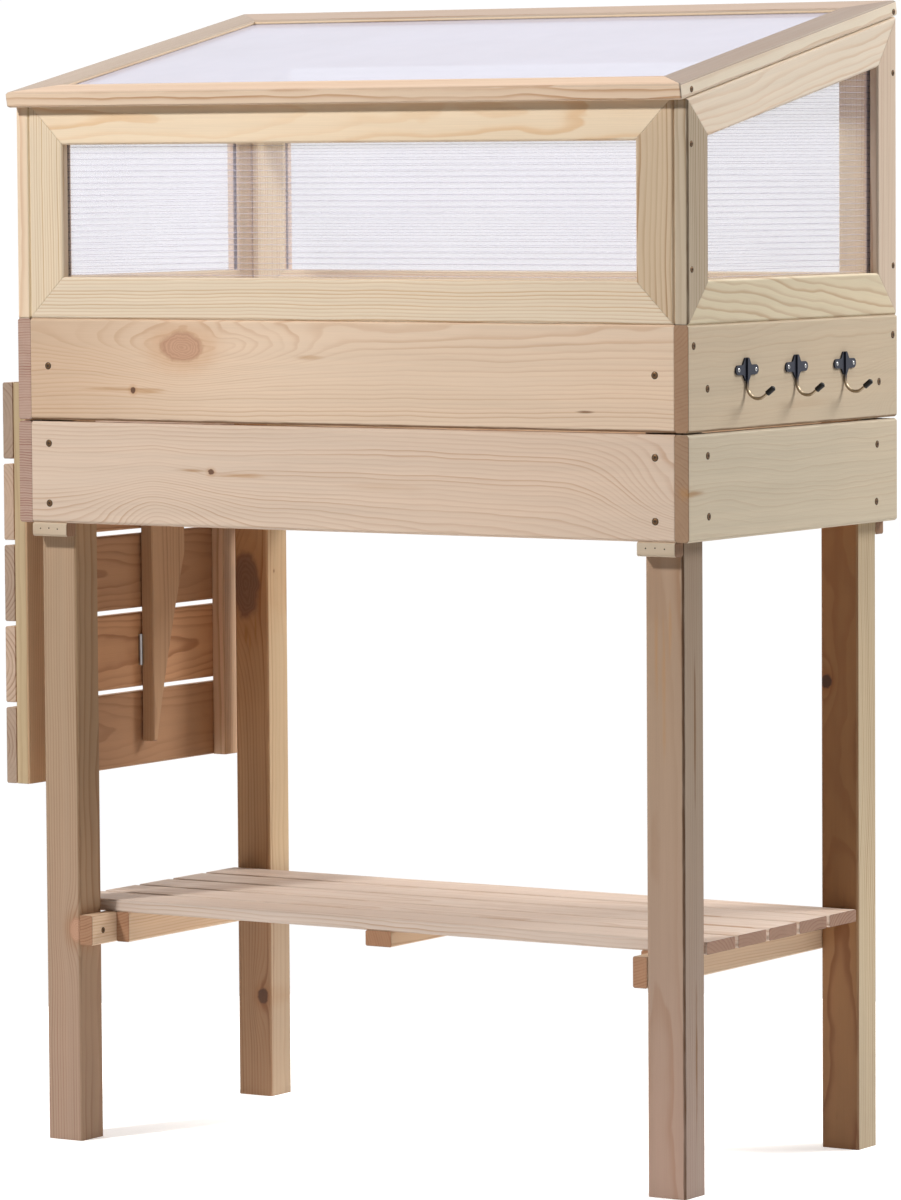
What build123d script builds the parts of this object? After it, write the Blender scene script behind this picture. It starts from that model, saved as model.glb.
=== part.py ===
from build123d import *
import math
import os

# Raised bed on legs with a shelf, a cold frame with a hinged lid, a fold-down side table and hooks.
# Millimetres, +Z up, front towards -Y. The origin lies on the ground under the middle of the whole box.

# Bed
bed_width = 900.0
bed_depth = 476.0
clear_height = 725.0
board_height = 117.5
board_thickness = 18.0
course_gap = 2.0
board_arris = 2.5
leg_wide = 48.0
leg_deep = 44.0
leg_below_rim = 47.0
leg_arris = 2.0
block_height = 16.0

# Floor inside the bed
bearer_thickness = 18.0
bearer_height = 35.0
floor_slat_thickness = 16.0
floor_slat_count = 8
floor_slat_gap = 9.0
floor_clearance = 1.0

# Shelf between the legs
shelf_height = 280.0
shelf_slat_thickness = 14.0
shelf_end_gap = 4.5
shelf_slat_gap = 7.0
shelf_slat_count = 5
cleat_thick = 18.0
cleat_wide = 35.0
slat_arris = 1.5

# Cold frame of mitred, grooved stock
frame_front_height = 244.5
frame_rear_height = 340.0
stock_wide = 48.0
side_stile_wide = 45.0
stock_thick = 18.0
stock_arris = 2.0
groove_depth = 10.0
groove_clearance = 0.4
sheet_thickness = 4.0
sheet_edge_gap = 2.0
wall_sheet_recess = 10.0
lid_sheet_recess = 5.0
flute_pitch = 7.0
flute_rib = 0.8
sheet_skin = 0.6
lid_gap = 1.5
lid_overhang = 18.0
lid_side_overhang = 1.0

# Side table
table_gap = 4.5
table_below_rim = 76.0
table_inset = 18.0
table_slat_width = 89.0
table_slat_gap = 6.2
table_slat_count = 5
table_slat_thickness = 14.0
batten_thick = 18.0
batten_wide = 35.0

# Folding bracket under the side table
bracket_thick = 16.0
bracket_wide = 69.0
bracket_offset = 33.0
bracket_top_clear = 4.0
bracket_bevel = 52.0
bracket_shoulder = 216.0
bracket_tip_rise = 29.0
bracket_tip_width = 8.0
bracket_bow = 3.0
bracket_arris = 1.5

# Butt hinges
pin_radius = 1.2
pin_clearance = 0.06
knuckle_radius = 3.0
knuckle_run = 0.4
face_clearance = 0.2
leaf_thickness = 1.5
lid_leaf_length = 16.0
lid_hinge_width = 50.0
lid_hinge_inset = 160.0
table_leaf_length = 34.0
table_hinge_width = 30.0
small_knuckle_radius = 2.4
small_leaf_thickness = 1.2
small_leaf_gap = 0.4
small_leaf_length = 16.0
small_hinge_width = 37.0

# Hooks
hook_count = 3
hook_pitch = 112.0
hook_below_rim = 39.0
hook_plate_thickness = 2.0
hook_ear_span = 50.0
hook_ear_height = 11.0
hook_ear_drop = 13.5
hook_body_top_width = 9.0
hook_body_width = 25.0
hook_neck_width = 7.0
hook_neck_drop = 26.0
hook_plate_fillet = 3.0
hook_screw_hole = 2.0
hook_screw_spacing = 38.0
hook_ridge_width = 3.2
hook_ridge_height = 1.6
hook_wire = 3.6
hook_wire_sides = 10
hook_stem = 6.0
hook_bend_radius = 13.0
hook_bend_angle = 128.0
hook_rise = 5.0
hook_tip_length = 11.0
hook_tip_diameter = 6.4
hook_tip_sides = 12
hook_tip_chamfer = 1.4

# Places worked out from the sizes above
rim = clear_height + 2 * board_height + course_gap
frame_slope = (frame_rear_height - frame_front_height) / bed_depth
slope_angle = math.degrees(math.atan(frame_slope))
slope_sin = math.sin(math.radians(slope_angle))
slope_cos = math.cos(math.radians(slope_angle))
knuckle_offset = knuckle_radius + face_clearance
table_reach = table_gap + batten_thick + table_slat_thickness
table_top = rim - table_below_rim
table_height = table_slat_count * table_slat_width + (table_slat_count - 1) * table_slat_gap
hook_top = rim - hook_below_rim
pieces = {}


def keep(part, label):
    """Names a finished piece and keeps it for export."""
    part.label = label
    pieces[label] = part


def timber(low, high, along, arris):
    """A straight piece of timber between two corners, with its long arrises taken off."""
    low = Vector(*low)
    high = Vector(*high)
    middle = (low + high) / 2
    size = high - low
    if along == "X":
        section = Plane((low.X, middle.Y, middle.Z), x_dir=(0, 1, 0), z_dir=(1, 0, 0))
        width, height, length = size.Y, size.Z, size.X
    elif along == "Y":
        section = Plane((middle.X, low.Y, middle.Z), x_dir=(0, 0, 1), z_dir=(0, 1, 0))
        width, height, length = size.Z, size.X, size.Y
    else:
        section = Plane((middle.X, middle.Y, low.Z), x_dir=(1, 0, 0), z_dir=(0, 0, 1))
        width, height, length = size.X, size.Y, size.Z
    with BuildPart() as piece:
        with BuildSketch(section) as outline:
            Rectangle(width, height)
            chamfer(outline.vertices(), arris)
        extrude(amount=length)
    return piece.part


def make_hook(wall):
    """A hook and its tip on a wall plane: x along the wall, y up, z out, origin at the plate's top."""
    side = Plane(wall.origin, x_dir=wall.z_dir, z_dir=-wall.x_dir)
    wire_line = hook_wire / 2 + face_clearance
    with BuildPart() as hook:
        with BuildSketch(wall) as plate:
            with Locations((0, -hook_ear_drop)):
                SlotOverall(hook_ear_span, hook_ear_height)
            Polygon(
                (-hook_body_top_width / 2, 0),
                (hook_body_top_width / 2, 0),
                (hook_body_width / 2, -hook_ear_drop),
                (hook_neck_width / 2, -hook_neck_drop),
                (-hook_neck_width / 2, -hook_neck_drop),
                (-hook_body_width / 2, -hook_ear_drop),
                align=None,
            )
            inner_vertices = plate.vertices().filter_by(lambda v: abs(v.X) < hook_body_width / 2)
            fillet(inner_vertices.filter_by(lambda v: v.Y > -hook_neck_drop), hook_plate_fillet)
            with Locations((0, -hook_ear_drop)):
                with GridLocations(hook_screw_spacing, 0, 2, 1):
                    Circle(hook_screw_hole, mode=Mode.SUBTRACT)
        extrude(amount=hook_plate_thickness)
        with BuildSketch(wall.offset(hook_plate_thickness)) as ridge:
            with Locations((0, -hook_neck_drop / 2)):
                Rectangle(hook_ridge_width, hook_neck_drop)
            chamfer(ridge.vertices(), hook_ridge_width / 3)
        extrude(amount=hook_ridge_height)
        with BuildLine(side) as path:
            stem = Line(
                (wire_line, -hook_neck_drop + hook_wire),
                (wire_line, -hook_neck_drop - hook_stem),
            )
            bend = JernArc(stem @ 1, stem % 1, hook_bend_radius, hook_bend_angle)
            Line(bend @ 1, (bend @ 1) + (bend % 1) * hook_rise)
        with BuildSketch(Plane(path.line @ 0, z_dir=path.line % 0)):
            RegularPolygon(hook_wire / 2, hook_wire_sides)
        sweep(path=path.line)
    with BuildPart() as tip:
        with BuildSketch(Plane(path.line @ 1, z_dir=path.line % 1)):
            RegularPolygon(hook_tip_diameter / 2, hook_tip_sides)
        extrude(amount=hook_tip_length)
        outer_end = tip.faces().sort_by(lambda f: f.center().dot(path.line % 1))[-1]
        chamfer(outer_end.edges(), hook_tip_chamfer)
    return hook.part, tip.part


# The hooks reach out on one side and the table on the other, so the bed's middle follows from both.
trial_tip = make_hook(Plane((0, 0, 0), x_dir=(0, 1, 0), z_dir=(1, 0, 0)))[1]
hook_reach = trial_tip.bounding_box().max.X
bed_left = -(bed_width + table_reach + hook_reach) / 2 + table_reach
bed_right = bed_left + bed_width
bed_middle = (bed_left + bed_right) / 2
hinge_reach = knuckle_offset + knuckle_radius
bed_front = -(bed_depth + lid_overhang + hinge_reach) / 2 + lid_overhang
bed_rear = bed_front + bed_depth
bed_centre = (bed_front + bed_rear) / 2
inner_left = bed_left + board_thickness
inner_right = bed_right - board_thickness
inner_front = bed_front + board_thickness
inner_rear = bed_rear - board_thickness

# Legs stand in the inner corners of the box
leg_x = {"left": inner_left, "right": inner_right - leg_wide}
leg_y = {"front": inner_front, "rear": inner_rear - leg_deep}
for row, y in leg_y.items():
    for side, x in leg_x.items():
        leg = timber((x, y, 0), (x + leg_wide, y + leg_deep, rim - leg_below_rim), "Z", leg_arris)
        keep(leg, f"leg_{row}_{side}")

# Boards in two courses; the side boards cover the ends of the front and rear boards
for course, z in {"lower": clear_height, "upper": rim - board_height}.items():
    top = z + board_height
    front = timber((inner_left, bed_front, z), (inner_right, inner_front, top), "X", board_arris)
    rear = timber((inner_left, inner_rear, z), (inner_right, bed_rear, top), "X", board_arris)
    left = timber((bed_left, bed_front, z), (inner_left, bed_rear, top), "Y", board_arris)
    right = timber((inner_right, bed_front, z), (bed_right, bed_rear, top), "Y", board_arris)
    keep(front, f"board_front_{course}")
    keep(rear, f"board_rear_{course}")
    keep(left, f"board_left_{course}")
    keep(right, f"board_right_{course}")

# Small blocks under the front and rear boards, one at each leg
with BuildPart() as corner_blocks:
    for y in (bed_front, inner_rear):
        for x in leg_x.values():
            low = (x, y, clear_height - block_height)
            high = (x + leg_wide, y + board_thickness, clear_height)
            add(timber(low, high, "X", leg_arris))
keep(corner_blocks.part, "corner_blocks")

# Floor bearers along the four inner faces, between the legs
between_left = inner_left + leg_wide
between_right = inner_right - leg_wide
between_front = inner_front + leg_deep
between_rear = inner_rear - leg_deep
floor_base = clear_height + bearer_height
with BuildPart() as floor_bearers:
    for y in (inner_front, inner_rear - bearer_thickness):
        low = (between_left, y, clear_height)
        high = (between_right, y + bearer_thickness, floor_base)
        add(timber(low, high, "X", slat_arris))
    for x in (inner_left, inner_right - bearer_thickness):
        low = (x, between_front, clear_height)
        high = (x + bearer_thickness, between_rear, floor_base)
        add(timber(low, high, "Y", slat_arris))
keep(floor_bearers.part, "floor_bearers")

# Floor slats across the bearers, with a shorter one between the legs at each end
floor_top = floor_base + floor_slat_thickness
floor_span = between_right - between_left - 2 * floor_clearance
floor_slat_width = (floor_span - (floor_slat_count - 1) * floor_slat_gap) / floor_slat_count
with BuildPart() as floor_slats:
    for i in range(floor_slat_count):
        x = between_left + floor_clearance + i * (floor_slat_width + floor_slat_gap)
        low = (x, inner_front + floor_clearance, floor_base)
        high = (x + floor_slat_width, inner_rear - floor_clearance, floor_top)
        add(timber(low, high, "Y", slat_arris))
    for x in (inner_left + floor_clearance, between_right + floor_clearance):
        low = (x, between_front + floor_clearance, floor_base)
        high = (x + leg_wide - 2 * floor_clearance, between_rear - floor_clearance, floor_top)
        add(timber(low, high, "Y", slat_arris))
keep(floor_slats.part, "floor_slats")

# Shelf: ledgers on the legs' inner faces, cleats beside them and a flat one in the middle, slats on top
shelf_base = shelf_height - shelf_slat_thickness
shelf_depth = between_rear - between_front - 2 * shelf_end_gap
shelf_slat_width = (shelf_depth - (shelf_slat_count - 1) * shelf_slat_gap) / shelf_slat_count
shelf_front = bed_centre - shelf_depth / 2
for side, x in {"left": between_left, "right": between_right - cleat_thick}.items():
    low = (x, inner_front, shelf_base - cleat_wide)
    high = (x + cleat_thick, inner_rear, shelf_base)
    keep(timber(low, high, "Y", slat_arris), f"shelf_ledger_{side}")
for side, x in {
    "left": between_left + cleat_thick,
    "right": between_right - 2 * cleat_thick,
}.items():
    low = (x, shelf_front, shelf_base - cleat_wide)
    high = (x + cleat_thick, shelf_front + shelf_depth, shelf_base)
    keep(timber(low, high, "Y", slat_arris), f"shelf_cleat_{side}")
low = (bed_middle - cleat_wide / 2, shelf_front, shelf_base - cleat_thick)
high = (bed_middle + cleat_wide / 2, shelf_front + shelf_depth, shelf_base)
keep(timber(low, high, "Y", slat_arris), "shelf_cleat_centre")
for i in range(shelf_slat_count):
    y = shelf_front + i * (shelf_slat_width + shelf_slat_gap)
    low = (inner_left, y, shelf_base)
    high = (inner_right, y + shelf_slat_width, shelf_height)
    keep(timber(low, high, "X", slat_arris), f"shelf_slat_{i + 1}")


def inner_corners(outer, widths):
    """Corners of the opening left when each side of an outline is moved in by its own width."""
    corners = []
    for i, corner in enumerate(outer):
        before = (corner - outer[i - 1]).normalized()
        after = (outer[(i + 1) % len(outer)] - corner).normalized()
        turn = before.X * after.Y - before.Y * after.X
        corners.append(corner + (before * -widths[i] + after * widths[i - 1]) / turn)
    return corners


def frame_member(face, outer, inner, i, width, recess):
    """One grooved stock member along side i of a frame, mitred at both corners."""
    start, end = outer[i], outer[(i + 1) % len(outer)]
    along = (end - start).normalized()
    inward = Vector(-along.Y, along.X)
    spare = 2 * width
    origin = face.from_local_coords(start - along * spare)
    z_dir = face.from_local_coords(along) - face.origin
    x_dir = face.from_local_coords(inward) - face.origin
    groove_width = sheet_thickness + groove_clearance
    with BuildPart() as member:
        with BuildSketch(Plane(origin, x_dir=x_dir, z_dir=z_dir)) as outline:
            with Locations((width / 2, -stock_thick / 2)):
                Rectangle(width, stock_thick)
            chamfer(outline.vertices(), stock_arris)
            with Locations((width, -recess + groove_clearance / 2)):
                Rectangle(groove_depth, groove_width, align=(Align.MAX, Align.MAX), mode=Mode.SUBTRACT)
        extrude(amount=(end - start).length + 2 * spare)
        for k, sign in ((i, 1), ((i + 1) % len(outer), -1)):
            mitre = (inner[k] - outer[k]).normalized()
            across = Vector(mitre.Y, -mitre.X)
            if (across.dot(along) > 0) != (sign > 0):
                across = across * -1
            normal = face.from_local_coords(across) - face.origin
            split(bisect_by=Plane(face.from_local_coords(outer[k]), z_dir=normal), keep=Keep.TOP)
    return member.part


def twin_wall_sheet(face, outline, recess):
    """A hollow twin-wall sheet behind a frame's face; its flutes run along the plane's x."""
    low = Vector(min(p.X for p in outline), min(p.Y for p in outline))
    high = Vector(max(p.X for p in outline), max(p.Y for p in outline))
    length, span = high.X - low.X, high.Y - low.Y
    start = face.from_local_coords(Vector(low.X, low.Y + span / 2, -recess - sheet_thickness / 2))
    with BuildPart() as sheet:
        with BuildSketch(Plane(start, x_dir=face.z_dir, z_dir=face.x_dir)):
            Rectangle(sheet_thickness, span)
            with GridLocations(0, flute_pitch, 1, int((span - flute_rib) / flute_pitch)):
                Rectangle(
                    sheet_thickness - 2 * sheet_skin,
                    flute_pitch - flute_rib,
                    mode=Mode.SUBTRACT,
                )
        extrude(amount=length)
        top_edge = outline[3] - outline[2]
        if abs(top_edge.Y) > 0:
            downward = face.from_local_coords(Vector(-top_edge.Y, top_edge.X)) - face.origin
            split(bisect_by=Plane(face.from_local_coords(outline[2]), z_dir=downward), keep=Keep.TOP)
    return sheet.part


def glazed_frame(name, face, outer, widths, recess, bevel=None):
    """Four mitred members and their sheet; a bevel plane trims the tops to the lid's slope."""
    inner = inner_corners(outer, widths)
    for i, part_name in enumerate(("sill", "stile_right", "top_rail", "stile_left")):
        member = frame_member(face, outer, inner, i, widths[i], recess)
        if bevel is not None:
            with BuildPart() as trimmed:
                add(member)
                split(bisect_by=bevel, keep=Keep.BOTTOM)
            member = trimmed.part
        keep(member, f"{name}_{part_name}")
    seat = groove_depth - sheet_edge_gap
    outline = inner_corners(outer, [w - seat for w in widths])
    keep(twin_wall_sheet(face, outline, recess), f"{name}_sheet")


# Cold frame walls on the rim; the side frames cover the ends of the front and rear frames
slope_plane = Plane(
    (bed_middle, bed_front, rim + frame_front_height),
    x_dir=(1, 0, 0),
    z_dir=(0, -slope_sin, slope_cos),
)
half_width = bed_width / 2 - stock_thick
front_top = frame_front_height + stock_thick * frame_slope
front_face = Plane((bed_middle, bed_front, rim), x_dir=(1, 0, 0), z_dir=(0, -1, 0))
front_outline = [
    Vector(-half_width, 0),
    Vector(half_width, 0),
    Vector(half_width, front_top),
    Vector(-half_width, front_top),
]
glazed_frame("wall_front", front_face, front_outline, [stock_wide] * 4, wall_sheet_recess, slope_plane)

rear_face = Plane((bed_middle, bed_rear, rim), x_dir=(-1, 0, 0), z_dir=(0, 1, 0))
rear_outline = [
    Vector(-half_width, 0),
    Vector(half_width, 0),
    Vector(half_width, frame_rear_height),
    Vector(-half_width, frame_rear_height),
]
glazed_frame("wall_rear", rear_face, rear_outline, [stock_wide] * 4, wall_sheet_recess, slope_plane)

half_depth = bed_depth / 2
side_widths = [stock_wide, side_stile_wide, stock_wide, side_stile_wide]
right_face = Plane((bed_right, bed_centre, rim), x_dir=(0, 1, 0), z_dir=(1, 0, 0))
right_outline = [
    Vector(-half_depth, 0),
    Vector(half_depth, 0),
    Vector(half_depth, frame_rear_height),
    Vector(-half_depth, frame_front_height),
]
glazed_frame("wall_right", right_face, right_outline, side_widths, wall_sheet_recess)

left_face = Plane((bed_left, bed_centre, rim), x_dir=(0, -1, 0), z_dir=(-1, 0, 0))
left_outline = [
    Vector(-half_depth, 0),
    Vector(half_depth, 0),
    Vector(half_depth, frame_front_height),
    Vector(-half_depth, frame_rear_height),
]
glazed_frame("wall_left", left_face, left_outline, side_widths, wall_sheet_recess)

# Lid in the plane of the slope, its rear lower edge flush with the rear frame
lid_seat = slope_plane.offset(lid_gap)
lid_rear = (bed_depth + lid_gap * slope_sin) / slope_cos
lid_front = (-lid_overhang + (stock_thick + lid_gap) * slope_sin) / slope_cos
lid_face = lid_seat.offset(stock_thick)
lid_half = bed_width / 2 + lid_side_overhang
lid_outline = [
    Vector(-lid_half, lid_front),
    Vector(lid_half, lid_front),
    Vector(lid_half, lid_rear),
    Vector(-lid_half, lid_rear),
]
glazed_frame("lid", lid_face, lid_outline, [stock_wide] * 4, lid_sheet_recess)


def hinge_leaf(pivot, seat, radius, thickness, length, width, centre_knuckle):
    """One leaf of a butt hinge. The pivot plane has the pin as z, the leaf along x and its seat towards y.
    The leaf with the outer knuckles carries the pin, the other one turns on it."""
    third = width / 3
    if centre_knuckle:
        spans = [(0, third - 2 * knuckle_run)]
    else:
        spans = [(-third, third), (third, third)]
    root = radius + knuckle_run
    with BuildPart() as leaf:
        with BuildSketch(pivot.offset(-width / 2)):
            with Locations((root, seat)):
                Rectangle(length - root, thickness, align=(Align.MIN, Align.MAX))
        extrude(amount=width)
        for middle, tall in spans:
            with BuildSketch(pivot.offset(middle - tall / 2)):
                Circle(radius)
                with Locations((0, seat)):
                    Rectangle(root, thickness, align=(Align.MIN, Align.MAX))
            extrude(amount=tall)
        if centre_knuckle:
            with BuildSketch(pivot.offset(-width / 2)):
                Circle(pin_radius + pin_clearance)
            extrude(amount=width, mode=Mode.SUBTRACT)
        else:
            with BuildSketch(pivot.offset(-width / 2)):
                Circle(pin_radius)
            extrude(amount=width)
    return leaf.part


# Lid hinges on the rear faces, with their pins behind the gap under the lid
lid_lower_edge = lid_seat.from_local_coords(Vector(0, lid_rear))
lid_pin_y = bed_rear + knuckle_offset
lid_pin_z = lid_lower_edge.Z + knuckle_offset * math.tan(math.radians(slope_angle / 2))
lid_pins = [
    Vector(bed_left + lid_hinge_inset, lid_pin_y, lid_pin_z),
    Vector(bed_right - lid_hinge_inset, lid_pin_y, lid_pin_z),
]
lid_leaf_size = (knuckle_radius, leaf_thickness, lid_leaf_length, lid_hinge_width)

# Table hinges in the gap beside the bed, with their pins just above the battens
table_front = bed_front + table_inset
table_rear = bed_rear - table_inset
table_pin_x = bed_left - knuckle_offset
table_pin_z = table_top + knuckle_offset
batten_face = bed_left - table_gap
table_pins = [
    Vector(table_pin_x, table_front + batten_wide / 2, table_pin_z),
    Vector(table_pin_x, table_rear - batten_wide / 2, table_pin_z),
]
table_leaf_size = (knuckle_radius, leaf_thickness, table_leaf_length, table_hinge_width)

with BuildPart() as hinge_leaves_bed:
    for pin in lid_pins:
        wall_side = Plane(pin, x_dir=(0, 0, -1), z_dir=(-1, 0, 0))
        add(hinge_leaf(wall_side, knuckle_offset, *lid_leaf_size, False))
    for pin in table_pins:
        board_side = Plane(pin, x_dir=(0, 0, -1), z_dir=(0, -1, 0))
        add(hinge_leaf(board_side, knuckle_offset, *table_leaf_size, False))
keep(hinge_leaves_bed.part, "hinge_leaves_bed")

with BuildPart() as hinge_leaves_lid:
    for pin in lid_pins:
        lid_side = Plane(pin, x_dir=(0, -slope_sin, slope_cos), z_dir=(1, 0, 0))
        add(hinge_leaf(lid_side, knuckle_offset, *lid_leaf_size, True))
keep(hinge_leaves_lid.part, "hinge_leaves_lid")

# Side table: slats across two battens, hanging beside the bed
slat_face = batten_face - batten_thick
table_outer = slat_face - table_slat_thickness
table_base = table_top - table_height
with BuildPart() as table_slats:
    for i in range(table_slat_count):
        z = table_top - table_slat_width - i * (table_slat_width + table_slat_gap)
        low = (table_outer, table_front, z)
        high = (slat_face, table_rear, z + table_slat_width)
        add(timber(low, high, "Y", slat_arris))
keep(table_slats.part, "table_slats")
for row, y in {"front": table_front, "rear": table_rear - batten_wide}.items():
    low = (slat_face, y, table_base)
    high = (batten_face, y + batten_wide, table_top)
    keep(timber(low, high, "Z", slat_arris), f"table_batten_{row}")

# Folding bracket: flat against the slats, its top end bevelled so that it clears the bed as both swing
small_standoff = 2 * small_leaf_thickness + small_leaf_gap
bracket_back = slat_face + small_standoff
bracket_edge = bed_centre + bracket_offset
bracket_top = table_top - bracket_top_clear
bracket_shoulder_z = table_top - bracket_shoulder
bracket_tip = table_base + bracket_tip_rise
bracket_plane = Plane((bracket_back, bracket_edge, 0), x_dir=(0, 1, 0), z_dir=(1, 0, 0))
bow_middle = Vector(
    (bracket_wide + bracket_tip_width) / 2 - bracket_bow,
    (bracket_shoulder_z + bracket_tip) / 2,
)
with BuildPart() as bracket:
    with BuildSketch(bracket_plane):
        with BuildLine():
            edge = Line((0, bracket_tip), (0, bracket_top))
            bevel = Line(edge @ 1, (bracket_wide, bracket_top - bracket_bevel))
            back = Line(bevel @ 1, (bracket_wide, bracket_shoulder_z))
            bow = ThreePointArc(back @ 1, bow_middle, (bracket_tip_width, bracket_tip))
            Line(bow @ 1, edge @ 0)
        make_face()
    extrude(amount=bracket_thick)
    chamfer(bracket.faces().sort_by(Axis.X)[-1].edges(), bracket_arris)
keep(bracket.part, "bracket")

# Bracket hinges: closed while the bracket lies flat, on the second and fourth slats
bracket_pin_x = slat_face + small_knuckle_radius + face_clearance
bracket_pin_y = bracket_edge - small_knuckle_radius - knuckle_run
bracket_pins = []
for i in (1, 3):
    z = table_top - table_slat_width / 2 - i * (table_slat_width + table_slat_gap)
    bracket_pins.append(Vector(bracket_pin_x, bracket_pin_y, z))
small_leaf_size = (small_knuckle_radius, small_leaf_thickness, small_leaf_length, small_hinge_width)
bracket_seat = bracket_back - bracket_pin_x
slat_seat = bracket_pin_x - slat_face

with BuildPart() as hinge_leaves_table:
    for pin in table_pins:
        table_side = Plane(pin, x_dir=(0, 0, -1), z_dir=(0, 1, 0))
        add(hinge_leaf(table_side, table_gap - knuckle_offset, *table_leaf_size, True))
    for pin in bracket_pins:
        slat_side = Plane(pin, x_dir=(0, 1, 0), z_dir=(0, 0, 1))
        add(hinge_leaf(slat_side, slat_seat, *small_leaf_size, False))
keep(hinge_leaves_table.part, "hinge_leaves_table")

with BuildPart() as hinge_leaves_bracket:
    for pin in bracket_pins:
        bracket_side = Plane(pin, x_dir=(0, 1, 0), z_dir=(0, 0, -1))
        add(hinge_leaf(bracket_side, bracket_seat, *small_leaf_size, True))
keep(hinge_leaves_bracket.part, "hinge_leaves_bracket")

# Hooks in a row on the right upper board
row_start = bed_centre - (hook_count - 1) * hook_pitch / 2
hook_walls = [
    Plane((bed_right, row_start + i * hook_pitch, hook_top), x_dir=(0, 1, 0), z_dir=(1, 0, 0))
    for i in range(hook_count)
]
hook_pairs = [make_hook(wall) for wall in hook_walls]
with BuildPart() as hooks:
    for metal, tip in hook_pairs:
        add(metal)
keep(hooks.part, "hooks")
with BuildPart() as hook_tips:
    for metal, tip in hook_pairs:
        add(tip)
keep(hook_tips.part, "hook_tips")

os.makedirs("parts", exist_ok=True)
for label, part in pieces.items():
    export_step(part, f"parts/{label}.step")
print(len(pieces), "pieces")
print("lid pin", lid_pins[0], "table pin", table_pins[0], "bracket pin", bracket_pins[0])
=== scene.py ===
import bmesh
import bpy
import math
import random
from mathutils import Matrix, Vector


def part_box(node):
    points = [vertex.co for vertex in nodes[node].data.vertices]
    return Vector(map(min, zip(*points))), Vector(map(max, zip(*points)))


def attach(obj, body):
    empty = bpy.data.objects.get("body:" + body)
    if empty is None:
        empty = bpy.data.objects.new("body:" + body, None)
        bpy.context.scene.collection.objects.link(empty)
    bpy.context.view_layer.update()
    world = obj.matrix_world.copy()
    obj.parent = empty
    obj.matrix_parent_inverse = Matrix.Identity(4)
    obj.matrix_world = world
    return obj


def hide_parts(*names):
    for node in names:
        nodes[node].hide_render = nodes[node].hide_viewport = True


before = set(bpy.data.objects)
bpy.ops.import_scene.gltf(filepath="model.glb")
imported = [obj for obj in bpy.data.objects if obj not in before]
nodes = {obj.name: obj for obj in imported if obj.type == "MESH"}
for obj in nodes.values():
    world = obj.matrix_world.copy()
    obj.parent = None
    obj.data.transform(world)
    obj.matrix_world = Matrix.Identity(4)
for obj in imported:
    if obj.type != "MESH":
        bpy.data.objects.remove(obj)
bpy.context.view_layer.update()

# Sizes, places and directions of the part, in metres
BED_DEPTH = 0.476
FRAME_FRONT_HEIGHT = 0.2445
FRAME_REAR_HEIGHT = 0.340
SLOPE = math.atan((FRAME_REAR_HEIGHT - FRAME_FRONT_HEIGHT) / BED_DEPTH)
X = Vector((1, 0, 0))
Y = Vector((0, 1, 0))
Z = Vector((0, 0, 1))
UP_SLOPE = Vector((0, math.cos(SLOPE), math.sin(SLOPE)))
OFF_SLOPE = Vector((0, -math.sin(SLOPE), math.cos(SLOPE)))
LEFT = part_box("board_left_upper")[0].x
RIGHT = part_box("board_right_upper")[1].x
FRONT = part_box("board_front_upper")[0].y
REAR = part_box("board_rear_upper")[1].y
MIDDLE = (LEFT + RIGHT) / 2
CENTRE = (FRONT + REAR) / 2
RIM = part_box("board_front_upper")[1].z
ARRIS = 0.001
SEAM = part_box("board_front_upper")[0].z + ARRIS
FRONT_LEG_FACE = -0.2141
REAR_LEG_FACE = 0.1819
FRONT_RIGHT_LEG_SIDE = 0.4319
REAR_LEFT_LEG_SIDE = -0.3841


def srgb(r, g, b):
    """A colour given in display values, as the renderer wants it."""
    def linear(c):
        c = c / 255
        return c / 12.92 if c <= 0.04045 else ((c + 0.055) / 1.055) ** 2.4
    return linear(r), linear(g), linear(b), 1.0


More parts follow.
